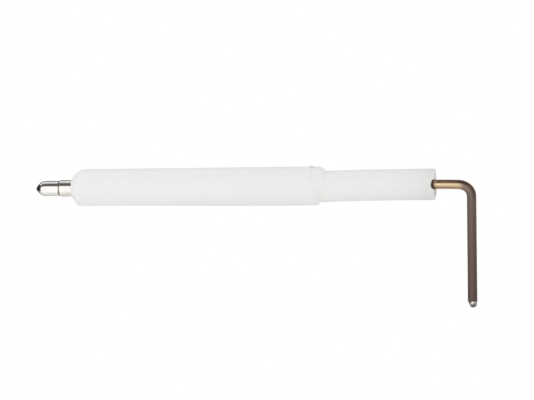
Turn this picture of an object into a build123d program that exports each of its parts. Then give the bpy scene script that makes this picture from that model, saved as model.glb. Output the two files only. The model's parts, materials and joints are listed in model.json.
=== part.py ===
from build123d import *
import os

# Flame sensor probe: a stepped ceramic insulator with a push-on terminal at its rear end and a
# sensing rod that leaves the front end and turns down through 90 degrees.
#
# X runs along the probe, the terminal at -X and the sensing end at +X.  The sensing leg points
# along -Z.  The origin is on the axis, at the middle of the cylindrical land that a burner
# bracket grips.

os.makedirs("parts", exist_ok=True)

# ---------------------------------------------------------------- driving dimensions, mm

# Insulator, outside
land_diameter = 10.0         # cylindrical land that the bracket grips
land_length = 15.0
nose_diameter = 8.0          # thin front part
rear_diameter = 9.55         # small end of the long rear taper
rear_face_x = -55.4
front_face_x = 39.4
rear_face_diameter = 5.6     # edge of the flat left inside the rear chamfer
rear_chamfer_length = 2.0
ridge_width = 1.2            # low moulding ridge at the land's front end
ridge_height = 0.2
shoulder_x = 9.9             # where the step down to the nose starts
shoulder_length = 1.0
front_edge_break = 0.2

# Insulator, inside
bore_diameter = 2.7          # through bore that the rod lies in
counterbore_diameter = 4.7
counterbore_depth = 7.5
notch_width = 2.6            # small notch in the front rim, open to one side (-Y)
notch_depth = 0.95
notch_corner = 0.5

# Sensing rod
rod_diameter = 2.4
leg_x = 48.6                 # centreline of the leg
leg_reach = 31.4             # from the probe's axis down to the tip
bend_radius = 3.2            # of the centreline
tip_round = 0.6
tip_facet_drop = 1.8         # height of the oblique ground facet on the leg's inner side
tip_facet_width = 0.85

# Terminal
plug_diameter = 4.0          # round push-on nose
plug_length = 6.2            # exposed nose, from its tip to the ring groove
plug_tip_length = 2.4        # rounded end of the nose
plug_tip_flat_radius = 0.38
plug_tip_fullness = 0.53      # share of the full radius a quarter of the way along the rounded end
groove_width = 0.3
groove_depth = 0.2
collar_diameter = 4.4
collar_length = 3.3          # between the groove and the insulator
shank_length = 7.0           # inside the counterbore
shank_groove_depth = 0.4     # two grooves that key the shank into the cement
shank_groove_width = 1.0
socket_depth = 6.0           # blind socket for the rod, from the shank's end
braze_thickness = 0.1

# ---------------------------------------------------------------- derived places

land_radius = land_diameter / 2
nose_radius = nose_diameter / 2
land_rear_x = -land_length / 2
land_front_x = land_length / 2
counterbore_floor_x = rear_face_x + counterbore_depth
collar_front_x = rear_face_x
collar_rear_x = collar_front_x - collar_length
groove_rear_x = collar_rear_x - groove_width
plug_tip_x = groove_rear_x - plug_length
shank_end_x = rear_face_x + shank_length
socket_floor_x = shank_end_x - socket_depth
rod_end_x = socket_floor_x + braze_thickness
rod_radius = rod_diameter / 2
socket_radius = rod_radius + braze_thickness
shank_radius = collar_diameter / 2
shank_groove_radius = shank_radius - shank_groove_depth
first_key_x = rear_face_x + 1.5
second_key_x = rear_face_x + 4.0


# ---------------------------------------------------------------- insulator
# One slip-cast, fired and glazed tube.  Its rear two thirds taper towards the terminal, then come
# the bracket's land, a low ridge and a rounded step down to the nose.

with BuildPart() as insulator:
    with BuildSketch(Plane.XZ):
        with BuildLine():
            outer_rear = Polyline(
                (counterbore_floor_x, counterbore_diameter / 2),
                (rear_face_x, counterbore_diameter / 2),
                (rear_face_x, rear_face_diameter / 2),
                (rear_face_x + rear_chamfer_length, rear_diameter / 2),
                (land_rear_x, land_radius),
                (land_front_x, land_radius),
            )
            ridge = ThreePointArc(
                outer_rear @ 1,
                (land_front_x + ridge_width / 2, land_radius + ridge_height),
                (land_front_x + ridge_width, land_radius),
            )
            Line(ridge @ 1, (shoulder_x, land_radius))
            EllipticalCenterArc(
                (shoulder_x, nose_radius),
                shoulder_length,
                land_radius - nose_radius,
                start_angle=0,
                arc_size=90,
            )
            Polyline(
                (shoulder_x + shoulder_length, nose_radius),
                (front_face_x - front_edge_break, nose_radius),
                (front_face_x, nose_radius - front_edge_break),
                (front_face_x, bore_diameter / 2),
                (counterbore_floor_x, bore_diameter / 2),
                outer_rear @ 0,
            )
        make_face()
    revolve(axis=Axis.X)
    # The notch is a slot with rounded corners, from the bore out through the -Y side of the rim.
    with BuildSketch(Plane.XZ):
        with Locations((front_face_x, 0)):
            RectangleRounded(2 * notch_depth, notch_width, notch_corner)
    extrude(amount=land_diameter, mode=Mode.SUBTRACT)

insulator.part.label = "insulator"
export_step(insulator.part, "parts/insulator.step")


# ---------------------------------------------------------------- electrode rod
# One drawn wire of heat-resistant alloy: straight through the bore, one bend, then the leg.  The
# tip is ground round, with an oblique facet on the side that faces the insulator.

with BuildPart() as electrode_rod:
    with BuildLine(Plane.XZ):
        straight = Line((rod_end_x, 0), (leg_x - bend_radius, 0))
        bend = RadiusArc(straight @ 1, (leg_x, -bend_radius), bend_radius)
        Line(bend @ 1, (leg_x, -leg_reach))
    with BuildSketch(Plane.YZ.offset(rod_end_x)):
        Circle(rod_radius)
    sweep()
    fillet(electrode_rod.edges().group_by(Axis.Z)[0], tip_round)
    with BuildSketch(Plane.XZ):
        with BuildLine():
            Polyline(
                (leg_x - rod_radius, -leg_reach + tip_facet_drop),
                (leg_x - rod_radius + tip_facet_width, -leg_reach),
                (leg_x - rod_radius, -leg_reach),
                close=True,
            )
        make_face()
    extrude(amount=rod_radius, both=True, mode=Mode.SUBTRACT)

electrode_rod.part.label = "electrode_rod"
export_step(electrode_rod.part, "parts/electrode_rod.step")


# ---------------------------------------------------------------- terminal pin
# Turned from bar and nickel plated: bullet nose, ring groove, collar, then a keyed shank with a
# blind socket for the rod.

with BuildPart() as terminal_pin:
    with BuildSketch(Plane.XZ):
        with BuildLine():
            tip_flat = Line((plug_tip_x, 0), (plug_tip_x, plug_tip_flat_radius))
            tip_curve = Bezier(
                tip_flat @ 1,
                (plug_tip_x + 0.25 * plug_tip_length, plug_tip_fullness * plug_diameter / 2),
                (plug_tip_x + 0.5 * plug_tip_length, plug_diameter / 2),
                (plug_tip_x + plug_tip_length, plug_diameter / 2),
            )
            Polyline(
                tip_curve @ 1,
                (groove_rear_x, plug_diameter / 2),
                (groove_rear_x, plug_diameter / 2 - groove_depth),
                (collar_rear_x, plug_diameter / 2 - groove_depth),
                (collar_rear_x, shank_radius),
                (first_key_x, shank_radius),
                (first_key_x, shank_groove_radius),
                (first_key_x + shank_groove_width, shank_groove_radius),
                (first_key_x + shank_groove_width, shank_radius),
                (second_key_x, shank_radius),
                (second_key_x, shank_groove_radius),
                (second_key_x + shank_groove_width, shank_groove_radius),
                (second_key_x + shank_groove_width, shank_radius),
                (shank_end_x, shank_radius),
                (shank_end_x, socket_radius),
                (socket_floor_x, socket_radius),
                (socket_floor_x, 0),
                (plug_tip_x, 0),
            )
        make_face()
    revolve(axis=Axis.X)

terminal_pin.part.label = "terminal_pin"
export_step(terminal_pin.part, "parts/terminal_pin.step")


# ---------------------------------------------------------------- terminal braze
# Filler metal drawn round the rod's rear end: a disc at the socket's floor and a thin sleeve.

with BuildPart() as terminal_braze:
    with BuildSketch(Plane.XZ):
        with BuildLine():
            Polyline(
                (socket_floor_x, 0),
                (socket_floor_x, socket_radius),
                (shank_end_x, socket_radius),
                (shank_end_x, rod_radius),
                (rod_end_x, rod_radius),
                (rod_end_x, 0),
                close=True,
            )
        make_face()
    revolve(axis=Axis.X)

terminal_braze.part.label = "terminal_braze"
export_step(terminal_braze.part, "parts/terminal_braze.step")


# ---------------------------------------------------------------- rear cement
# Potting that fills the counterbore round the shank and its two key grooves, and closes the gap
# between the shank's end and the counterbore's floor.

with BuildPart() as rear_cement:
    with BuildSketch(Plane.XZ):
        with BuildLine():
            Polyline(
                (rear_face_x, shank_radius),
                (rear_face_x, counterbore_diameter / 2),
                (counterbore_floor_x, counterbore_diameter / 2),
                (counterbore_floor_x, rod_radius),
                (shank_end_x, rod_radius),
                (shank_end_x, shank_radius),
                (second_key_x + shank_groove_width, shank_radius),
                (second_key_x + shank_groove_width, shank_groove_radius),
                (second_key_x, shank_groove_radius),
                (second_key_x, shank_radius),
                (first_key_x + shank_groove_width, shank_radius),
                (first_key_x + shank_groove_width, shank_groove_radius),
                (first_key_x, shank_groove_radius),
                (first_key_x, shank_radius),
                close=True,
            )
        make_face()
    revolve(axis=Axis.X)

rear_cement.part.label = "rear_cement"
export_step(rear_cement.part, "parts/rear_cement.step")
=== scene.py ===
import json
import math

import bmesh
import bpy
import numpy as np
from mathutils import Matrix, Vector, noise


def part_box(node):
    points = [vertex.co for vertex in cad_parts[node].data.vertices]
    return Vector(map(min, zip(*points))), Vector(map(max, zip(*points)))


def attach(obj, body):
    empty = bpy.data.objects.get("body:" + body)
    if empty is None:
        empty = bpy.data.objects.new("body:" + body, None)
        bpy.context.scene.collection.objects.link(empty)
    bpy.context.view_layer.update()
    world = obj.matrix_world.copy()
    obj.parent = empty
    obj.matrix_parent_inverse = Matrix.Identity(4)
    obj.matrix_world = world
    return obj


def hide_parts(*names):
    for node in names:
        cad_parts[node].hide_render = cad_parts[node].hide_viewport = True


# A flame sensor probe: a stepped ceramic insulator, a round push-on terminal and a heat-tinted
# sensing rod. Everything is in metres in the row's own frame: X along the probe with the terminal
# at -X, Z up, and the notch in the insulator's front rim on the -Y side.

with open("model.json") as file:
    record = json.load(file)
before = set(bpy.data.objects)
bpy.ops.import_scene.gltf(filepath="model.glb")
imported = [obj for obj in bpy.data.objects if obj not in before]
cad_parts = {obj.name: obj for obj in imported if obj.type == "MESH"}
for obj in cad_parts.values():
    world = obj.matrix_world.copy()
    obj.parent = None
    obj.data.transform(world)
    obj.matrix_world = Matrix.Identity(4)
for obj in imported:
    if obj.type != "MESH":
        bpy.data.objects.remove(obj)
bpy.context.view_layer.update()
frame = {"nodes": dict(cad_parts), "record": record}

MM = 0.001
INSULATOR_SEGMENTS = 192
TURNED_SEGMENTS = 128

# ---------------------------------------------------------------- sizes, from the frame

mounts = {mount["name"]: mount for mount in frame["record"]["mounts"]}


def mount_span(name):
    """Where a mount's straight stretch starts and ends along X, and its radius."""
    mount = mounts[name]
    middle, half = mount["pos_m"][0], mount["dims"]["length_mm"] * MM / 2
    return middle - half, middle + half, mount["dims"]["r_mm"] * MM


insulator_lo, insulator_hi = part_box("insulator")
rod_lo, rod_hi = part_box("electrode_rod")
pin_lo, pin_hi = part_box("terminal_pin")
braze_lo, braze_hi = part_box("terminal_braze")
_, cement_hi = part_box("rear_cement")

REAR_X, FRONT_X = insulator_lo.x, insulator_hi.x
LAND_START, LAND_END, LAND_R = mount_span("holding_land")
NOSE_START, _, NOSE_R = mount_span("nose")
PLUG_START, PLUG_END, PLUG_R = mount_span("terminal_plug")
PIN_TIP_X, SHANK_END = pin_lo.x, pin_hi.x
COLLAR_R = pin_hi.y
SOCKET_FLOOR, SOCKET_R = braze_lo.x, braze_hi.y
COUNTERBORE_END, COUNTERBORE_R = cement_hi.x, cement_hi.y
ROD_R = rod_hi.y
ROD_START = rod_lo.x
LEG_X = rod_hi.x - ROD_R
ROD_TIP_Z = rod_lo.z


# ---------------------------------------------------------------- mesh helpers

def line(start, end, steps):
    """Points evenly along a straight stretch of an (x, r) profile, without its start."""
    return [(start[0] + (end[0] - start[0]) * i / steps,
             start[1] + (end[1] - start[1]) * i / steps) for i in range(1, steps + 1)]


def elbow(corner, radius, start_degrees, end_degrees, steps=6):
    """Points of a round edge in an (x, r) profile; corner is the arc's centre."""
    points = []
    for i in range(steps + 1):
        angle = math.radians(start_degrees + (end_degrees - start_degrees) * i / steps)
        points.append((corner[0] + radius * math.cos(angle), corner[1] + radius * math.sin(angle)))
    return points


def bezier(hull, steps):
    """Points of a cubic Bezier curve in an (x, r) profile, without its start."""
    points = []
    for i in range(1, steps + 1):
        t = i / steps
        weights = ((1 - t) ** 3, 3 * t * (1 - t) ** 2, 3 * t * t * (1 - t), t ** 3)
        points.append(tuple(sum(w * p[k] for w, p in zip(weights, hull)) for k in (0, 1)))
    return points


def link(name, mesh):
    piece = bpy.data.objects.new(name, mesh)
    bpy.context.scene.collection.objects.link(piece)
    return piece


def skin(name, rings, capped=True, attributes=None):
    """A closed skin over a list of rings. Uncapped, the last ring joins the first."""
    count = len(rings[0])
    faces = []
    spans = len(rings) - 1 if capped else len(rings)
    for i in range(spans):
        a, b = i * count, ((i + 1) % len(rings)) * count
        for j in range(count):
            k = (j + 1) % count
            faces.append((a + j, a + k, b + k, b + j))
    if capped:
        faces.append(tuple(reversed(range(count))))
        faces.append(tuple(range((len(rings) - 1) * count, len(rings) * count)))
    mesh = bpy.data.meshes.new(name)
    mesh.from_pydata([point for ring in rings for point in ring], [], faces)
    for key, values in (attributes or {}).items():
        layer = mesh.attributes.new(key, "FLOAT", "POINT")
        layer.data.foreach_set("value", np.asarray(values, np.float32))
    return link(name, mesh)


def lathe(name, profile, segments, shape, capped=True):
    """Turns an (x, r) profile about the X axis. shape(x, r, angle) gives each point's own x, r
    and lift along Z."""
    rings = []
    for x, r in profile:
        ring = []
        for j in range(segments):
            angle = 2 * math.pi * j / segments
            px, pr, lift = shape(x, r, angle)
            ring.append((px, pr * math.cos(angle), pr * math.sin(angle) + lift))
        rings.append(ring)
    return skin(name, rings, capped)


def finish_mesh(piece, sharp_degrees):
    """Outward normals, and smooth shading that keeps the real edges crisp."""
    bm = bmesh.new()
    bm.from_mesh(piece.data)
    bmesh.ops.remove_doubles(bm, verts=bm.verts, dist=1e-7)
    bmesh.ops.recalc_face_normals(bm, faces=bm.faces)
    limit = math.radians(sharp_degrees)
    for face in bm.faces:
        face.smooth = True
    for edge in bm.edges:
        edge.smooth = not (edge.is_manifold and edge.calc_face_angle(0) > limit)
    bm.to_mesh(piece.data)
    bm.free()


def cut(piece, tool):
    """Takes the tool's volume out of the piece and removes the tool."""
    modifier = piece.modifiers.new("cut", "BOOLEAN")
    modifier.operation = "DIFFERENCE"
    modifier.solver = "EXACT"
    modifier.object = tool
    with bpy.context.temp_override(object=piece, active_object=piece):
        bpy.ops.object.modifier_apply(modifier=modifier.name)
    bpy.data.objects.remove(tool)


def stand_for(piece, node):
    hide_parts(node)
    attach(piece, "root")
    return piece


# ---------------------------------------------------------------- insulator

REAR_FACE_R = 2.8 * MM
REAR_BODY_R = 4.775 * MM
REAR_CHAMFER = 2.0 * MM
BORE_R = 1.35 * MM
NOTCH_DEPTH = 0.98 * MM
NOTCH_HALF_HEIGHT = 1.27 * MM

# The shoulder as a plain turned part would have it: a crease, a bead and a step down to the nose.
SEAM_X = LAND_END + 0.9 * MM
STEP_TOP = NOSE_START - 1.0 * MM
STEP_FOOT = NOSE_START
SHOULDER_FROM, SHOULDER_TO = LAND_END - 1.5 * MM, NOSE_START + 3 * MM
BAND_DROP = 0.04 * MM

# The shoulder as it was fired. Its seam swings between the top and the underside as a tanh curve.
SEAM_SWING = 0.52 * MM
SEAM_BEND = 3
SEAM_CENTRE = 0.1            # height of the swing's middle, as a share of the radius
EDGE_X = STEP_TOP - 0.57 * MM
EDGE_SLANT = 0.30 * MM
EDGE_NEAR_DIP = 0.25 * MM
FOOT_X = STEP_FOOT - 0.48 * MM
FOOT_SLANT = 0.92 * MM
FOOT_NEAR_DIP = 0.10 * MM
SEAM_RAG, EDGE_RAG, FOOT_RAG = 0.08 * MM, 0.10 * MM, 0.06 * MM

# The bead's ridge, which stands highest on top.
RIDGE_X = SEAM_X - 0.10 * MM
RIDGE_RISE = 1.65 * MM
RIDGE_FALL = 0.88 * MM
RIDGE_HEIGHT = 0.20 * MM
RIDGE_LUMP = 0.015 * MM

# The fired body's camber and the slight wave in its radius.
SWEEP_MIDDLE = -24 * MM
SWEEP_REACH = 30 * MM
BODY_LIFT = 0.035 * MM
BODY_BOW = 0.105 * MM
NOSE_LIFT = 0.03 * MM
NOSE_DROP = 0.29 * MM
NOSE_BOW_START = NOSE_START + 0.3 * MM
NOSE_BOW_REACH = 7 * MM
WAVE = 0.016 * MM
RIPPLE = 0.004 * MM
INSIDE_R = 3 * MM            # the bore and counterbore, which stay true, lie within this radius

# The rear chamfer's length, as shares of the plain one: its mean and its swing with height.
CHAMFER_MEAN = 0.915
CHAMFER_SWING = 0.215

# The chip in the lower front rim.
CHIP_PLACE = (FRONT_X + 1.0 * MM, 1.0 * MM, -NOSE_R + 0.12 * MM)
CHIP_R = 1.5 * MM
CHIP_SQUASH = (1.0, 1.9, 0.9)
CHIP_SEED = 3.1


def shoulder_stations(angle):
    """Where the seam, the step's edge and its foot lie at this angle: the hand-finished shoulder
    runs obliquely, further forward on top than underneath."""
    up, near = math.sin(angle), max(-math.cos(angle), 0.0)
    seam = SEAM_X - SEAM_SWING * math.tanh(SEAM_BEND * (up - SEAM_CENTRE))
    edge = EDGE_X + EDGE_SLANT * up - EDGE_NEAR_DIP * near ** 2
    foot = FOOT_X + FOOT_SLANT * up - FOOT_NEAR_DIP * near
    ragged = noise.noise(Vector((2.2 * math.cos(angle), 2.2 * math.sin(angle), 7.3)))
    return seam + SEAM_RAG * ragged, edge + EDGE_RAG * ragged, foot + FOOT_RAG * ragged


def camber(x, on_nose):
    """How far firing bowed the body off its axis: a long sweep behind the shoulder, and a nose
    that leaves the shoulder low and straightens out towards the flame."""
    sweep = min(max((x - SWEEP_MIDDLE) / SWEEP_REACH, -1.0), 1.0)
    thick = BODY_LIFT - BODY_BOW * math.sin(sweep * math.pi / 2)
    nose = NOSE_LIFT - NOSE_DROP * math.exp(-max(x - NOSE_BOW_START, 0.0) / NOSE_BOW_REACH)
    return thick + (nose - thick) * on_nose


def insulator_shape(x, r, angle):
    """The fired body's slight wave and camber, its oblique shoulder and its uneven bead."""
    if r < INSIDE_R:
        return x, r, 0.0
    low = noise.noise(Vector((x * 60, 1.2 * math.cos(angle), 1.2 * math.sin(angle))))
    fine = noise.noise(Vector((x * 420, 5 * math.cos(angle), 5 * math.sin(angle))))
    r += WAVE * low + RIPPLE * fine
    # The ridge has a long rise, then a shorter and softer fall.
    to_end = (x - RIDGE_X) / (RIDGE_RISE if x < RIDGE_X else RIDGE_FALL)
    if abs(to_end) < 1:
        swell = math.cos(to_end * math.pi / 2) ** (1 if to_end < 0 else 2)
        lump = noise.noise(Vector((3 * math.cos(angle), 3 * math.sin(angle), 2.1)))
        r += swell * (RIDGE_HEIGHT * max(math.sin(angle), 0.0) ** 4 + RIDGE_LUMP * lump)
    on_nose = min(max((x - STEP_TOP) / (STEP_FOOT - STEP_TOP), 0.0), 1.0)
    chamfer_end = REAR_X + REAR_CHAMFER * (CHAMFER_MEAN + CHAMFER_SWING * math.sin(angle))
    x = float(np.interp(x, (REAR_X, REAR_X + REAR_CHAMFER, REAR_X + 3 * REAR_CHAMFER,
                            SHOULDER_FROM, SEAM_X, STEP_TOP, STEP_FOOT, SHOULDER_TO, FRONT_X),
                        (REAR_X, chamfer_end, REAR_X + 3 * REAR_CHAMFER,
                         SHOULDER_FROM, *shoulder_stations(angle), SHOULDER_TO, FRONT_X)))
    return x, r, camber(x, on_nose)


def insulator_profile():
    points = [(REAR_X, COUNTERBORE_R)]
    points += line(points[-1], (REAR_X, REAR_FACE_R - 0.03 * MM), 2)
    points += line(points[-1], (REAR_X + 0.05 * MM, REAR_FACE_R + 0.03 * MM), 1)
    chamfer_end = (REAR_X + REAR_CHAMFER, REAR_BODY_R)
    points += line(points[-1], (chamfer_end[0] - 0.2 * MM, chamfer_end[1] - 0.21 * MM), 10)
    # The glaze softens the edge between the chamfer and the long taper.
    points += [(chamfer_end[0] - 0.05 * MM, chamfer_end[1] - 0.075 * MM),
               (chamfer_end[0] + 0.07 * MM, chamfer_end[1] - 0.02 * MM),
               (chamfer_end[0] + 0.24 * MM, chamfer_end[1] + 0.001 * MM)]
    points += line(points[-1], (LAND_START, LAND_R), 90)
    points += line(points[-1], (SEAM_X - 0.9 * MM, LAND_R), 30)
    # Height over the land, at distances from the seam: a shallow crease, then a band that lies
    # a little lower than the land.
    seam = ((-0.60, 0.0), (-0.40, -0.006), (-0.25, -0.016), (-0.12, -0.030), (0.0, -0.038),
            (0.12, -0.036), (0.25, -0.030), (0.45, -0.026), (0.70, -0.030), (1.00, -0.036))
    points += [(SEAM_X + dx * MM, LAND_R + dr * MM) for dx, dr in seam]
    points += line(points[-1], (STEP_TOP, LAND_R - BAND_DROP), 3)
    # The step down to the nose: a soft chamfer, a short cliff and a small cove.
    points += bezier((points[-1], (STEP_TOP + 0.95 * (STEP_FOOT - STEP_TOP), LAND_R - 0.22 * MM),
                      (STEP_TOP + 0.70 * (STEP_FOOT - STEP_TOP), NOSE_R + 0.05 * MM),
                      (STEP_FOOT, NOSE_R)), 24)
    rim, mouth = 0.22 * MM, 0.1 * MM
    points += line(points[-1], (FRONT_X - rim, NOSE_R), 80)
    points += elbow((FRONT_X - rim, NOSE_R - rim), rim, 75, 0)
    points += line(points[-1], (FRONT_X, BORE_R + mouth), 8)
    points += elbow((FRONT_X - mouth, BORE_R + mouth), mouth, -20, -90, 4)
    points += line(points[-1], (COUNTERBORE_END, BORE_R), 50)
    points += line(points[-1], (COUNTERBORE_END, COUNTERBORE_R), 2)
    points += line(points[-1], (REAR_X + 0.05 * MM, COUNTERBORE_R), 8)
    return points


def notch_tool():
    """A prism along Y with a rounded end: the worn notch in the front rim, square at its top
    and deepest a little below its middle."""
    outline = []
    arc_steps = 32
    for i in range(arc_steps + 1):
        turn = math.pi / 2 + math.pi * i / arc_steps
        squareness = 0.50 if math.sin(turn) > 0 else 0.85
        depth = NOTCH_DEPTH * (1 - 0.14 * math.sin(turn)) * abs(math.cos(turn)) ** squareness
        outline.append((FRONT_X - depth, NOTCH_HALF_HEIGHT * math.sin(turn)))
    outline += [(FRONT_X + 1 * MM, -NOTCH_HALF_HEIGHT), (FRONT_X + 1 * MM, NOTCH_HALF_HEIGHT)]
    worn = 0.35 * MM             # how deep into the wall the notch's edges are worn wider
    rings = []
    for y in (-NOSE_R - 1 * MM, -NOSE_R, -NOSE_R + worn, -1 * MM, 0.0):
        flare = 1 + 0.05 * max(0.0, (-NOSE_R + worn - y) / worn) ** 2
        rings.append([(FRONT_X + (x - FRONT_X) * flare, y, z * flare) for x, z in outline])
    tool = skin("notch_tool", rings)
    finish_mesh(tool, 30)
    return tool


def chip_tool():
    """A lumpy ball that bites the small shell-shaped chip out of the rim."""
    bm = bmesh.new()
    bmesh.ops.create_icosphere(bm, subdivisions=4, radius=CHIP_R)
    for vert in bm.verts:
        lump = noise.noise(vert.co * (1.1 / CHIP_R) + Vector((CHIP_SEED, 0.7 * CHIP_SEED, 0)))
        vert.co *= 1 + 0.10 * lump
        squashed = Vector(c * share for c, share in zip(vert.co, CHIP_SQUASH))
        vert.co = squashed + Vector(CHIP_PLACE)
    mesh = bpy.data.meshes.new("chip_tool")
    bm.to_mesh(mesh)
    bm.free()
    return link("chip_tool", mesh)


def make_insulator():
    piece = lathe("insulator_body", insulator_profile(), INSULATOR_SEGMENTS, insulator_shape,
                  capped=False)
    finish_mesh(piece, 40)
    cut(piece, notch_tool())
    cut(piece, chip_tool())
    finish_mesh(piece, 40)
    return stand_for(piece, "insulator")


# ---------------------------------------------------------------- sensing rod

BEND_R = 3.2 * MM
BEND_START = LEG_X - BEND_R
BEND_LENGTH = BEND_R * math.pi / 2
TIP_DOME = 1.2 * MM
TIP_END_R = 0.40 * MM
FACET_DROP = 1.80 * MM
FACET_WIDTH = 0.85 * MM
DROOP = 0.13 * MM
DROOP_PEAK = 7.4 * MM        # its place along the wire, past the insulator's face
DROOP_RISE, DROOP_FALL = 2.8 * MM, 1.6 * MM
BEND_WIDENING = 0.015        # these three are shares of the wire's radius
BEND_THINNING = 0.005
WIRE_WAVE = 0.004


def droop(distance):
    """How far the hand-bent wire already sags where the bend begins."""
    reach = DROOP_RISE if distance < DROOP_PEAK else DROOP_FALL
    return DROOP * math.exp(-((distance - DROOP_PEAK) / reach) ** 2)


def rod_stations():
    """Stations along the wire: centre, direction of travel and distance past the front face."""
    stations = []
    straight_steps, bend_steps, leg_steps = 110, 48, 70
    for i in range(straight_steps):
        x = ROD_START + (BEND_START - ROD_START) * i / straight_steps
        stations.append((Vector((x, 0, 0)), Vector((1, 0, 0)), x - FRONT_X))
    for i in range(bend_steps + 1):
        turn = math.pi / 2 * i / bend_steps
        centre = Vector((BEND_START + BEND_R * math.sin(turn), 0,
                         -BEND_R + BEND_R * math.cos(turn)))
        stations.append((centre, Vector((math.cos(turn), 0, -math.sin(turn))),
                         BEND_START - FRONT_X + BEND_LENGTH * i / bend_steps))
    leg_length = -BEND_R - (ROD_TIP_Z + TIP_DOME)
    for i in range(1, leg_steps + 1):
        drop = leg_length * i / leg_steps
        stations.append((Vector((LEG_X, 0, -BEND_R - drop)), Vector((0, 0, -1)),
                         BEND_START - FRONT_X + BEND_LENGTH + drop))
    return [(centre - Vector((0, 0, droop(distance))), travel, distance)
            for centre, travel, distance in stations]


def make_rod():
    segments = 72
    rings, along, around_y, around_out = [], [], [], []
    bend_middle = BEND_START - FRONT_X + BEND_LENGTH / 2

    def add_ring(centre, travel, distance, radius):
        side = Vector((0, 1, 0))
        out = travel.cross(side)
        bent = max(0.0, 1 - ((distance - bend_middle) / (0.8 * BEND_LENGTH)) ** 2)
        ring = []
        for j in range(segments):
            turn = 2 * math.pi * j / segments
            lump = noise.noise(Vector((distance * 200, math.cos(turn), math.sin(turn))))
            # Cold bending widens the wire slightly across the bend's plane.
            wide = radius * (1 + BEND_WIDENING * bent + WIRE_WAVE * lump)
            deep = radius * (1 - BEND_THINNING * bent + WIRE_WAVE * lump)
            # out is up on the straight part and +X on the leg: the outer side of the bend.
            ring.append(centre + side * (wide * math.cos(turn)) + out * (deep * math.sin(turn)))
            along.append(distance / MM)
            around_y.append(math.cos(turn))
            around_out.append(math.sin(turn))
        rings.append(ring)

    stations = rod_stations()
    for centre, travel, distance in stations:
        add_ring(centre, travel, distance, ROD_R)
    dome_steps = 12
    for i in range(1, dome_steps + 1):
        turn = math.pi / 2 * i / dome_steps
        drop = TIP_DOME * math.sin(turn)
        add_ring(Vector((LEG_X, 0, ROD_TIP_Z + TIP_DOME - drop)), Vector((0, 0, -1)),
                 stations[-1][2] + drop, TIP_END_R + (ROD_R - TIP_END_R) * math.cos(turn))
    piece = skin("sensing_rod", rings, attributes={
        "along": along, "around_y": around_y, "around_out": around_out})
    grind_facet(piece)
    finish_mesh(piece, 32)
    return stand_for(piece, "electrode_rod")


def grind_facet(piece):
    """Grinds the oblique facet off the tip, on the side that faces the insulator."""
    bm = bmesh.new()
    bm.from_mesh(piece.data)
    heel = Vector((LEG_X - ROD_R, 0, ROD_TIP_Z + FACET_DROP))
    toe = Vector((LEG_X - ROD_R + FACET_WIDTH, 0, ROD_TIP_Z))
    slope = toe - heel
    outward = Vector((slope.z, 0, -slope.x)).normalized()
    cutting = bmesh.ops.bisect_plane(bm, geom=bm.verts[:] + bm.edges[:] + bm.faces[:],
                                     plane_co=heel, plane_no=outward, clear_outer=True)
    rim = [e for e in cutting["geom_cut"] if isinstance(e, bmesh.types.BMEdge)]
    bmesh.ops.contextual_create(bm, geom=rim)
    bm.to_mesh(piece.data)
    bm.free()


# ---------------------------------------------------------------- terminal

TIP_FLAT_R = 0.38 * MM
TIP_FULLNESS = 0.53
GROOVE_WIDTH = 0.3 * MM
GROOVE_DEPTH = 0.2 * MM
COLLAR_END_R = COLLAR_R - 0.07 * MM
KEY_DEPTH = 0.4 * MM
KEY_WIDTH = 1.0 * MM
KEY_STARTS = (1.5 * MM, 4.0 * MM)
AXIS_R = 0.02 * MM           # the lathe closes an end with a flat of this radius
BURR_WIDTH = 0.12 * MM
BURR_HEIGHT = 0.012 * MM


def terminal_profile():
    collar_x = PLUG_END + GROOVE_WIDTH
    floor_r = PLUG_R - GROOVE_DEPTH
    points = [(PIN_TIP_X, AXIS_R)]
    points += line(points[-1], (PIN_TIP_X, TIP_FLAT_R), 3)
    # The bullet nose is the design's own Bezier curve.
    reach = PLUG_START - PIN_TIP_X
    points += bezier(((PIN_TIP_X, TIP_FLAT_R), (PIN_TIP_X + reach / 4, TIP_FULLNESS * PLUG_R),
                      (PIN_TIP_X + reach / 2, PLUG_R), (PLUG_START, PLUG_R)), 28)
    lip = 0.08 * MM
    points += line(points[-1], (PLUG_END - lip, PLUG_R), 16)
    points += elbow((PLUG_END - lip, PLUG_R - lip), lip, 70, 0, 4)
    points += [(PLUG_END + 0.02 * MM, floor_r + 0.02 * MM), (PLUG_END + 0.06 * MM, floor_r),
               (collar_x - 0.06 * MM, floor_r), (collar_x - 0.02 * MM, floor_r + 0.02 * MM)]
    points += elbow((collar_x + lip, COLLAR_R - lip), lip, 180, 95, 5)
    # The collar is barely tapered towards the insulator.
    points += [(collar_x + 0.3 * MM, COLLAR_R)]
    points += line(points[-1], (REAR_X, COLLAR_END_R), 12)
    points += [(REAR_X + 0.03 * MM, COLLAR_R)]
    for start in KEY_STARTS:
        key_x = REAR_X + start
        points += line(points[-1], (key_x, COLLAR_R), 12)
        points += [(key_x, COLLAR_R - KEY_DEPTH), (key_x + KEY_WIDTH, COLLAR_R - KEY_DEPTH),
                   (key_x + KEY_WIDTH, COLLAR_R)]
    points += line(points[-1], (SHANK_END, COLLAR_R), 4)
    points += [(SHANK_END, SOCKET_R), (SOCKET_FLOOR, SOCKET_R), (SOCKET_FLOOR, AXIS_R)]
    return points


def terminal_shape(x, r, angle):
    """A barely bent burr beside the groove, as a turned and plated pin has."""
    if 0 <= PLUG_END - x < BURR_WIDTH and r > PLUG_R - BURR_WIDTH / 2:
        r += BURR_HEIGHT * noise.noise(Vector((6 * math.cos(angle), 6 * math.sin(angle), 1.7)))
    return x, r, 0.0


def make_terminal():
    piece = lathe("terminal_body", terminal_profile(), TURNED_SEGMENTS, terminal_shape)
    finish_mesh(piece, 28)
    return stand_for(piece, "terminal_pin")


# ---------------------------------------------------------------- cement

MENISCUS = 0.16 * MM


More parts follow.
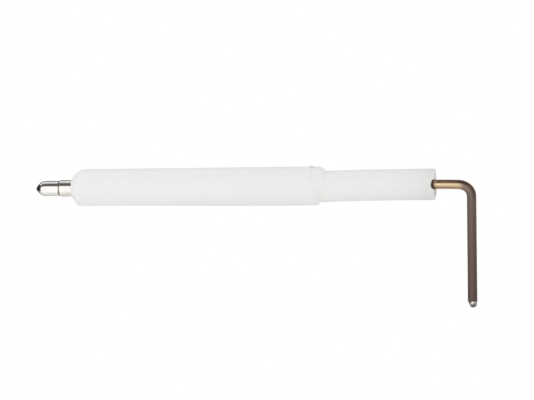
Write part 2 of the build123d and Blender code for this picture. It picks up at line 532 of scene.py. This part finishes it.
def cement_shape(x, r, angle):
    """Only the free surface is uneven: it climbs the collar and laps on to the rear face."""
    if x < REAR_X + 0.001 * MM:
        lump = noise.noise(Vector((2.6 * math.cos(angle), 2.6 * math.sin(angle), 4.4)))
        x = REAR_X + (x - REAR_X) * (1 + 0.8 * lump)
        if r > COUNTERBORE_R:
            r += 0.05 * lump * MM
    return x, r, 0.0


def make_cement():
    # First the free surface, from the collar outwards, then the potting inside the counterbore.
    points = [(REAR_X - MENISCUS, COLLAR_END_R - 0.02 * MM),
              (REAR_X - MENISCUS, COLLAR_END_R + 0.01 * MM),
              (REAR_X - 0.6 * MENISCUS, COLLAR_END_R + 0.08 * MM),
              (REAR_X - 0.35 * MENISCUS, COUNTERBORE_R - 0.02 * MM),
              (REAR_X - 0.22 * MENISCUS, COUNTERBORE_R + 0.06 * MM),
              (REAR_X - 0.02 * MM, COUNTERBORE_R + 0.12 * MM),
              (REAR_X + 0.005 * MM, COUNTERBORE_R + 0.12 * MM),
              (REAR_X + 0.01 * MM, COUNTERBORE_R)]
    points += line(points[-1], (COUNTERBORE_END, COUNTERBORE_R), 10)
    points += [(COUNTERBORE_END, ROD_R), (SHANK_END, ROD_R), (SHANK_END, COLLAR_R)]
    for start in reversed(KEY_STARTS):
        key_x = REAR_X + start
        points += [(key_x + KEY_WIDTH, COLLAR_R), (key_x + KEY_WIDTH, COLLAR_R - KEY_DEPTH),
                   (key_x, COLLAR_R - KEY_DEPTH), (key_x, COLLAR_R)]
    points += [(REAR_X + 0.05 * MM, COLLAR_R), (REAR_X + 0.02 * MM, COLLAR_END_R - 0.02 * MM)]
    piece = lathe("cement_ring", points, TURNED_SEGMENTS, cement_shape, capped=False)
    finish_mesh(piece, 50)
    return stand_for(piece, "rear_cement")


# ---------------------------------------------------------------- material helpers

class Graph:
    """One material's or the world's node tree, with short calls to add and join nodes."""

    def __init__(self, tree):
        self.nodes, self.links = tree.nodes, tree.links

    def add(self, kind, inputs=(), **properties):
        """A node; inputs are (input, value) pairs, where a value may be another node's output."""
        node = self.nodes.new(kind)
        for key, value in properties.items():
            setattr(node, key, value)
        for key, value in dict(inputs).items():
            self.put(value, node.inputs[key])
        return node

    def put(self, value, socket):
        if isinstance(value, bpy.types.NodeSocket):
            self.links.new(value, socket)
        else:
            socket.default_value = value

    def maths(self, operation, *values):
        node = self.add("ShaderNodeMath", enumerate(values), operation=operation)
        return node.outputs[0]

    def remap(self, value, low, high, to_low=0.0, to_high=1.0, smooth=False):
        node = self.add("ShaderNodeMapRange", {
            "Value": value, "From Min": low, "From Max": high, "To Min": to_low, "To Max": to_high},
            interpolation_type="SMOOTHSTEP" if smooth else "LINEAR")
        return node.outputs["Result"]

    def ramp(self, value, *stops):
        """Stops are (position, grey) or (position, (r, g, b)), linear."""
        node = self.add("ShaderNodeValToRGB", {"Fac": value})
        elements = node.color_ramp.elements
        while len(elements) < len(stops):
            elements.new(0.5)
        for element, (position, colour) in zip(elements, stops):
            element.position = position
            rgb = colour if isinstance(colour, tuple) else (colour,) * 3
            element.color = (*rgb, 1.0)
        return node.outputs["Color"]

    def mix(self, factor, first, second, blend="MIX"):
        node = self.add("ShaderNodeMixRGB", {0: factor, 1: first, 2: second}, blend_type=blend)
        return node.outputs[0]

    def noise(self, vector, scale, detail=4.0, roughness=0.55):
        node = self.add("ShaderNodeTexNoise", {
            "Vector": vector, "Scale": scale, "Detail": detail, "Roughness": roughness})
        return node.outputs["Fac"]

    def stretched(self, vector, scale):
        node = self.add("ShaderNodeMapping", {"Vector": vector, "Scale": scale})
        return node.outputs["Vector"]

    def bump(self, height, strength, distance, normal=None):
        inputs = {"Height": height, "Strength": strength, "Distance": distance}
        if normal is not None:
            inputs["Normal"] = normal
        return self.add("ShaderNodeBump", inputs).outputs["Normal"]

    def attribute(self, name):
        return self.add("ShaderNodeAttribute", attribute_name=name).outputs["Fac"]

    def place(self):
        """The point in the row frame, in metres, whole and split."""
        vector = self.add("ShaderNodeTexCoord").outputs["Object"]
        split = self.add("ShaderNodeSeparateXYZ", {0: vector}).outputs
        return vector, split["X"], split["Y"], split["Z"]


def new_material(name):
    material = bpy.data.materials.new(name)
    material.use_nodes = True
    return material, Graph(material.node_tree), material.node_tree.nodes["Principled BSDF"].inputs


def dress(piece, material):
    piece.data.materials.clear()
    piece.data.materials.append(material)


# ---------------------------------------------------------------- materials

def ceramic_material():
    """Dense white alumina under a thin satin glaze, a little greyer towards the flame."""
    material, graph, shader = new_material("glazed_alumina")
    vector, x, y, z = graph.place()
    span = graph.remap(x, REAR_X, FRONT_X)
    cloud = graph.noise(vector, 160.0, 5.0)
    drift = graph.maths("MULTIPLY_ADD", cloud, 0.10, graph.maths("SUBTRACT", span, 0.05))
    body = graph.ramp(drift, (0.0, (0.875, 0.875, 0.860)), (0.40, (0.862, 0.862, 0.848)),
                      (0.75, (0.852, 0.852, 0.838)), (0.90, (0.830, 0.830, 0.816)),
                      (0.965, (0.800, 0.800, 0.788)), (1.0, (0.755, 0.753, 0.742)))
    mottle = graph.ramp(graph.noise(vector, 900.0, 6.0, 0.6), (0.35, 0.982), (0.65, 1.0))
    tone = graph.mix(1.0, body, mottle, "MULTIPLY")
    # Sparse pinhead specks of the raw body.
    specks = graph.add("ShaderNodeTexVoronoi", {"Vector": vector, "Scale": 520.0})
    chosen = graph.add("ShaderNodeSeparateColor", {"Color": specks.outputs["Color"]}).outputs[0]
    few = graph.maths("GREATER_THAN", chosen, 0.90)
    dot = graph.remap(specks.outputs["Distance"], 0.05, 0.09, 1.0, 0.0, smooth=True)
    tone = graph.mix(graph.maths("MULTIPLY", graph.maths("MULTIPLY", few, dot), 0.5), tone,
                     (0.50, 0.46, 0.38, 1))
    # Painted light: a whiter band along the foot of the oblique step, against the shade in its
    # cove.
    light_band_x = graph.maths("MULTIPLY_ADD", z, 0.178, FOOT_X - 0.30 * MM)
    off_light_band = graph.maths("ABSOLUTE", graph.maths("SUBTRACT", x, light_band_x))
    painted_light_band = graph.remap(off_light_band, 0.20 * MM, 0.60 * MM, 0.45, 0.0, smooth=True)
    tone = graph.mix(painted_light_band, tone, (0.95, 0.95, 0.94, 1))
    # Painted shade: a grey line along the seam's crease, strongest on the ridge on top.
    bend = graph.maths("MULTIPLY_ADD", z, SEAM_BEND / LAND_R, -SEAM_BEND * SEAM_CENTRE)
    seam_x = graph.maths("MULTIPLY_ADD", graph.maths("TANH", bend), -SEAM_SWING, SEAM_X)
    off_seam = graph.maths("ABSOLUTE", graph.maths("SUBTRACT", x, seam_x))
    thin = graph.remap(off_seam, 0.05 * MM, 0.40 * MM, 0.055, 0.0, smooth=True)
    broad = graph.remap(off_seam, 0.10 * MM, 0.90 * MM, 0.14, 0.0, smooth=True)
    on_top = graph.remap(z, LAND_R - 1.2 * MM, LAND_R, smooth=True)
    seam_shade = graph.maths("MULTIPLY_ADD", broad, on_top, thin)
    tone = graph.mix(seam_shade, tone, (0.30, 0.29, 0.27, 1))
    # Painted shadow of the rod on the front face, round the mouth of the bore and running down from
    # it.
    drop = graph.maths("ADD", z, 0.9 * MM)
    out = graph.maths("SQRT", graph.maths("ADD", graph.maths("MULTIPLY", y, y),
                                          graph.maths("MULTIPLY", drop, drop)))
    ragged = graph.maths("MULTIPLY_ADD", graph.noise(vector, 1300.0, 4.0), 0.7 * MM, out)
    ring = graph.remap(ragged, 1.9 * MM, 3.3 * MM, 0.60, 0.0, smooth=True)
    at_face = graph.remap(x, FRONT_X - 0.9 * MM, FRONT_X - 0.1 * MM, 0.0, 1.0, smooth=True)
    tone = graph.mix(graph.maths("MULTIPLY", ring, at_face), tone, (0.22, 0.17, 0.13, 1))
    graph.put(tone, shader["Base Color"])
    # Relief: fine rings from grinding before the glaze, and the glaze's own slight wave.
    rings = graph.noise(graph.stretched(vector, (7000.0, 200.0, 200.0)), 1.0)
    wave = graph.noise(vector, 380.0, 3.0)
    graph.put(graph.remap(rings, 0.3, 0.7, 0.44, 0.56), shader["Roughness"])
    relief = graph.bump(rings, 0.10, 0.00001)
    graph.put(graph.bump(wave, 0.25, 0.00002, relief), shader["Normal"])
    shader["Specular IOR Level"].default_value = 0.35
    return material


def rod_material():
    """Drawn FeCrAl wire: straw-gold beside the insulator, dull brown down the leg, bare tip."""
    material, graph, shader = new_material("heat_tinted_alloy")
    vector, x, _, z = graph.place()
    along = graph.attribute("along")
    around_y, around_out = graph.attribute("around_y"), graph.attribute("around_out")
    cloud = graph.noise(vector, 380.0, 5.0, 0.6)
    shift, ramp_length = 1.6, 42.0
    place = graph.remap(graph.maths("MULTIPLY_ADD", cloud, shift, along), 0.0, ramp_length)

    # Millimetres past the insulator's face, as a place on the ramps. The cloud is 0.5 on average.
    def at(distance):
        return (distance + shift / 2) / ramp_length

    # Inside the bore and the notch the wire is painted near-black: painted shade in the recess.
    tint = graph.ramp(place, (at(-0.8), (0.075, 0.045, 0.032)), (at(-0.35), (0.13, 0.080, 0.052)),
                      (at(0.05), (0.66, 0.52, 0.345)), (at(5.6), (0.62, 0.48, 0.31)),
                      (at(7.2), (0.25, 0.185, 0.130)), (at(10.5), (0.155, 0.115, 0.090)),
                      (at(24.0), (0.128, 0.090, 0.068)), (at(38.0), (0.110, 0.072, 0.055)))
    # Long fine lines from the drawing die.
    stretch = graph.add("ShaderNodeCombineXYZ", {
        0: around_y, 1: around_out, 2: graph.maths("MULTIPLY", along, 0.045)}).outputs[0]
    lines = graph.noise(stretch, 7.0, 6.0, 0.65)
    tint = graph.mix(0.85, tint, graph.ramp(lines, (0.30, 0.80), (0.70, 1.12)), "MULTIPLY")
    blotch = graph.ramp(graph.noise(stretch, 1.6, 3.0), (0.35, (0.90, 0.90, 0.92)),
                        (0.65, (1.06, 1.0, 0.96)))
    tint = graph.mix(0.8, tint, blotch, "MULTIPLY")
    # Along the outer side of the bend the colour is painted darker: a painted dark reflection that
    # carries on the dark top of the straight part.
    # Along the inner side of the leg it is painted lighter: painted light from the brighter left
    # end of the tent.
    bend_dark_reflection = graph.maths("ABSOLUTE", graph.maths("SUBTRACT", around_out, 0.55))
    bend_dark_reflection = graph.remap(bend_dark_reflection, 0.12, 0.34, 0.55, 0.0, smooth=True)
    in_bend = graph.maths("MULTIPLY", graph.remap(along, 4.5, 6.5, smooth=True),
                          graph.remap(along, 13.5, 9.5, smooth=True))
    tint = graph.mix(graph.maths("MULTIPLY", bend_dark_reflection, in_bend), tint, (0.045, 0.030, 0.022, 1))
    leg_side_light = graph.remap(around_out, -0.45, -0.90, 0.0, 0.26, smooth=True)
    on_leg = graph.maths("MULTIPLY", graph.remap(along, 9.0, 12.0, smooth=True),
                         graph.remap(along, 38.0, 26.0, smooth=True))
    tint = graph.mix(graph.maths("MULTIPLY", leg_side_light, on_leg), tint, (0.36, 0.32, 0.29, 1))
    # The last millimetre and a half is ground bare, lower on the side of the facet.
    inward = graph.maths("MINIMUM", graph.maths("SUBTRACT", x, LEG_X), 0.0)
    lean = graph.maths("MULTIPLY_ADD", inward, -0.45, z)
    edge = graph.maths("MULTIPLY_ADD", cloud, 0.9 * MM, lean)
    bare = graph.remap(edge, ROD_TIP_Z + 2.05 * MM, ROD_TIP_Z + 1.85 * MM, smooth=True)
    # The bare metal is painted in grey bands by height, darkest about half a millimetre above the
    # end and lighter on its +X side: a painted reflection.
    bare_tone_and_reflection = graph.ramp(graph.remap(z, ROD_TIP_Z, ROD_TIP_Z + 1.7 * MM),
                        (0.0, (0.42, 0.42, 0.42)), (0.16, (0.24, 0.24, 0.24)),
                        (0.32, (0.14, 0.14, 0.14)), (0.55, (0.24, 0.24, 0.24)),
                        (0.80, (0.36, 0.36, 0.36)), (1.0, (0.42, 0.41, 0.39)))
    outward = graph.remap(x, LEG_X + 0.15 * MM, LEG_X + 0.75 * MM, 0.0, 0.7, smooth=True)
    bare_tone_and_reflection = graph.mix(outward, bare_tone_and_reflection, (0.60, 0.60, 0.59, 1))
    # A painted highlight: a pale spot on the bare metal, on the notch's side, where the tip catches
    # the light.
    highlight_place = (LEG_X + 0.02 * MM, -1.08 * MM, ROD_TIP_Z + 1.32 * MM)
    off_highlight = graph.add("ShaderNodeVectorMath", {0: vector, 1: highlight_place},
                        operation="DISTANCE").outputs["Value"]
    painted_highlight = graph.remap(off_highlight, 0.42 * MM, 0.10 * MM, smooth=True)
    bare_tone_and_reflection = graph.mix(painted_highlight, bare_tone_and_reflection, (0.90, 0.88, 0.86, 1))
    scratches = graph.noise(graph.stretched(vector, (900.0, 5200.0, 2500.0)), 1.0, 5.0, 0.7)
    bare_tone_and_reflection = graph.mix(0.7, bare_tone_and_reflection, graph.ramp(scratches, (0.3, 0.72), (0.7, 1.15)), "MULTIPLY")
    graph.put(graph.mix(bare, tint, bare_tone_and_reflection), shader["Base Color"])
    gloss = graph.ramp(place, (at(-0.2), 0.45), (at(0.3), 0.24), (at(6.0), 0.26), (at(8.5), 0.46),
                       (at(38.0), 0.50))
    gloss = graph.mix(0.5, gloss, graph.ramp(lines, (0.3, 0.85), (0.7, 1.15)), "MULTIPLY")
    graph.put(graph.mix(bare, gloss, (0.15, 0.15, 0.15, 1)), shader["Roughness"])
    metal = graph.ramp(place, (at(-0.2), 0.4), (at(0.3), 1.0), (at(6.0), 1.0), (at(8.5), 0.42),
                       (at(38.0), 0.42))
    graph.put(graph.mix(bare, metal, (1, 1, 1, 1)), shader["Metallic"])
    relief = graph.bump(lines, 0.30, 0.00001)
    rough_ground = graph.maths("MULTIPLY", scratches, bare)
    graph.put(graph.bump(rough_ground, 0.5, 0.00002, relief), shader["Normal"])
    return material


def nickel_material():
    """Bright nickel over turned brass: soft turning rings, a warm cast and painted shade in the
    groove.
    """
    material, graph, shader = new_material("nickel_plate")
    vector, x, _, z = graph.place()
    rings = graph.noise(graph.stretched(vector, (14000.0, 260.0, 260.0)), 1.0, 3.0)
    cloud = graph.noise(vector, 500.0, 4.0)
    tone = graph.ramp(cloud, (0.35, (0.700, 0.672, 0.640)), (0.65, (0.740, 0.722, 0.700)))
    tone = graph.mix(0.5, tone, graph.ramp(rings, (0.3, 0.94), (0.7, 1.03)), "MULTIPLY")
    # Painted shade darkens the groove.
    groove_x = PLUG_END + GROOVE_WIDTH / 2
    near_groove = graph.remap(graph.maths("ABSOLUTE", graph.maths("SUBTRACT", x, groove_x)),
                              0.08 * MM, 0.17 * MM, 1.0, 0.0, smooth=True)
    # The painted shade is left weaker in a patch on the groove's upper half, where light falls.
    patch = graph.maths("ABSOLUTE", graph.maths("SUBTRACT", z, 0.95 * MM))
    kept = graph.remap(patch, 0.35 * MM, 0.75 * MM, 0.35, 1.0, smooth=True)
    near_groove = graph.maths("MULTIPLY", near_groove, kept)
    groove_shade = graph.maths("MULTIPLY", near_groove, graph.ramp(cloud, (0.3, 0.55), (0.7, 0.9)))
    graph.put(graph.mix(groove_shade, tone, (0.12, 0.10, 0.085, 1)), shader["Base Color"])
    rough = graph.remap(rings, 0.3, 0.7, 0.07, 0.14)
    graph.put(graph.maths("MULTIPLY_ADD", groove_shade, 0.4, rough), shader["Roughness"])
    graph.put(graph.bump(rings, 0.10, 0.00001), shader["Normal"])
    shader["Metallic"].default_value = 1.0
    return material


def cement_material():
    """Chalky potting cement, with a grain and a few pores."""
    material, graph, shader = new_material("potting_cement")
    vector = graph.place()[0]
    grain = graph.noise(vector, 2600.0, 6.0, 0.7)
    pores = graph.ramp(graph.noise(vector, 1500.0, 3.0), (0.36, 0.70), (0.42, 1.0))
    tone = graph.ramp(grain, (0.35, (0.66, 0.65, 0.61)), (0.65, (0.82, 0.81, 0.78)))
    graph.put(graph.mix(1.0, tone, pores, "MULTIPLY"), shader["Base Color"])
    graph.put(graph.remap(grain, 0.3, 0.7, 0.75, 0.90), shader["Roughness"])
    graph.put(graph.bump(grain, 0.6, 0.00003), shader["Normal"])
    return material


def braze_material():
    """Silver braze: pale warm metal with flow marks."""
    material, graph, shader = new_material("silver_braze")
    vector = graph.place()[0]
    flow = graph.noise(graph.stretched(vector, (600.0, 1900.0, 1900.0)), 1.0, 5.0, 0.6)
    graph.put(graph.ramp(flow, (0.35, (0.60, 0.50, 0.33)), (0.65, (0.78, 0.70, 0.52))),
              shader["Base Color"])
    graph.put(graph.remap(flow, 0.3, 0.7, 0.25, 0.42), shader["Roughness"])
    graph.put(graph.bump(flow, 0.4, 0.00002), shader["Normal"])
    shader["Metallic"].default_value = 1.0
    return material


# ---------------------------------------------------------------- stage, light and camera

def make_floor():
    """A plain pale floor well below the probe. Only the camera sees it: the light tent's own
    floor lights the probe from underneath."""
    half, drop = 3.5, 0.50
    mesh = bpy.data.meshes.new("floor")
    mesh.from_pydata([(-half, -half, -drop), (half, -half, -drop), (half, half, -drop),
                      (-half, half, -drop)], [], [(0, 1, 2, 3)])
    floor = link("floor", mesh)
    material, graph, shader = new_material("pale_floor")
    shader["Base Color"].default_value = (0.93, 0.93, 0.93, 1)
    shader["Roughness"].default_value = 0.9
    clear = graph.add("ShaderNodeBsdfTransparent").outputs[0]
    seen = graph.add("ShaderNodeLightPath").outputs["Is Camera Ray"]
    surface = graph.nodes["Principled BSDF"].outputs[0]
    blend = graph.add("ShaderNodeMixShader", {0: seen, 1: clear, 2: surface}).outputs[0]
    graph.put(blend, graph.nodes["Material Output"].inputs["Surface"])
    dress(floor, material)


def make_world():
    """A light tent. Mirror-like surfaces see its panels: a broad bright front, a dark gap above
    it and a dark flag behind to the left. Matt surfaces get the tent's soft, even sum."""
    world = bpy.data.worlds.new("light_tent")
    bpy.context.scene.world = world
    world.use_nodes = True
    world.cycles.sampling_method = "NONE"
    graph = Graph(world.node_tree)
    graph.nodes.clear()
    direction = graph.add("ShaderNodeTexCoord").outputs["Generated"]
    x, y, z = graph.add("ShaderNodeSeparateXYZ", {0: direction}).outputs
    height = graph.maths("ARCTAN2", z, graph.maths("MULTIPLY", y, -1.0))
    turn = graph.remap(height, -math.pi, math.pi)

    # Degrees up from straight ahead (-Y), round to straight behind, as a place on the ramps.
    def up(degrees):
        return (degrees + 180) / 360

    left = graph.ramp(turn, (up(-180), 1.05), (up(-131), 0.66), (up(-106), 1.02), (up(-85), 0.94),
                      (up(-63), 1.24), (up(-46), 1.40), (up(29), 1.40),
                      (up(36), (0.16, 0.14, 0.125)), (up(66), (0.14, 0.12, 0.11)), (up(80), 0.40),
                      (up(94), 1.20), (up(112), 1.20), (up(126), 0.12), (up(144), 0.25),
                      (up(180), 1.05))
    middle = graph.ramp(turn, (up(-180), 1.0), (up(-128), (0.60, 0.48, 0.44)),
                        (up(-90), (0.50, 0.39, 0.37)), (up(-56), (0.52, 0.40, 0.36)),
                        (up(-36), 1.26), (up(18), 1.46), (up(33), (0.25, 0.16, 0.14)),
                        (up(125), (0.12, 0.08, 0.07)), (up(160), 0.45), (up(180), 0.9))
    panels = graph.mix(graph.remap(x, -0.22, -0.12, smooth=True), left, middle)
    # Degrees round from straight ahead, to the left.
    round_left = graph.maths("ARCTAN2", graph.maths("MULTIPLY", x, -1.0),
                             graph.maths("MULTIPLY", y, -1.0))
    right_end = graph.remap(round_left, math.radians(-26), math.radians(-44), 0.0, 0.6,
                            smooth=True)
    in_front = graph.remap(y, 0.1, -0.1, smooth=True)
    panels = graph.mix(graph.maths("MULTIPLY", right_end, in_front), panels, (0.30, 0.28, 0.27, 1))
    flag_from = graph.remap(round_left, math.radians(62), math.radians(74), smooth=True)
    flag_to = graph.remap(round_left, math.radians(165), math.radians(150), smooth=True)
    flag_low = graph.remap(z, -0.55, -0.25, smooth=True)
    flag_high = graph.remap(z, 0.58, 0.42, smooth=True)
    flag = graph.maths("MULTIPLY", graph.maths("MULTIPLY", flag_from, flag_to),
                       graph.maths("MULTIPLY", flag_low, flag_high))
    panels = graph.mix(flag, panels, (0.06, 0.055, 0.05, 1))
    even = graph.ramp(turn, (up(-180), 0.76), (up(-90), 0.90), (up(0), 1.03), (up(90), 0.97),
                      (up(180), 0.84))
    # The tent is a little brighter at its left end.
    sides = graph.ramp(graph.remap(x, -1.0, 1.0), (0.0, 1.17), (0.38, 0.960), (0.65, 0.955),
                       (1.0, 0.990))
    even = graph.mix(1.0, even, sides, "MULTIPLY")
    path = graph.add("ShaderNodeLightPath").outputs
    light = graph.mix(path["Is Glossy Ray"], even, panels)
    white = graph.mix(path["Is Camera Ray"], light, (1, 1, 1, 1))
    background = graph.add("ShaderNodeBackground", {"Color": white}).outputs[0]
    graph.add("ShaderNodeOutputWorld", {"Surface": background})


def make_camera():
    """Level with the probe, a little to the right of square on, and tipped by half a degree."""
    yaw, roll = math.radians(9.0), math.radians(-0.56)
    distance = 0.560
    aim = Vector((-4.08 * MM, 0, -3.56 * MM))
    back = Vector((math.sin(yaw), -math.cos(yaw), 0))
    data = bpy.data.cameras.new("camera")
    data.lens = 146.3
    data.sensor_width = 36.0
    data.clip_start, data.clip_end = 0.01, 20
    camera = bpy.data.objects.new("camera", data)
    camera.location = aim + back * distance
    camera.rotation_euler = (-back).to_track_quat("-Z", "Y").to_euler()
    camera.rotation_euler.rotate_axis("Z", roll)
    bpy.context.scene.collection.objects.link(camera)
    bpy.context.scene.camera = camera


make_camera()
make_world()
make_floor()
dress(make_insulator(), ceramic_material())
dress(make_rod(), rod_material())
dress(make_terminal(), nickel_material())
dress(make_cement(), cement_material())
dress(frame["nodes"]["terminal_braze"], braze_material())
bpy.context.scene.view_settings.view_transform = "Standard"
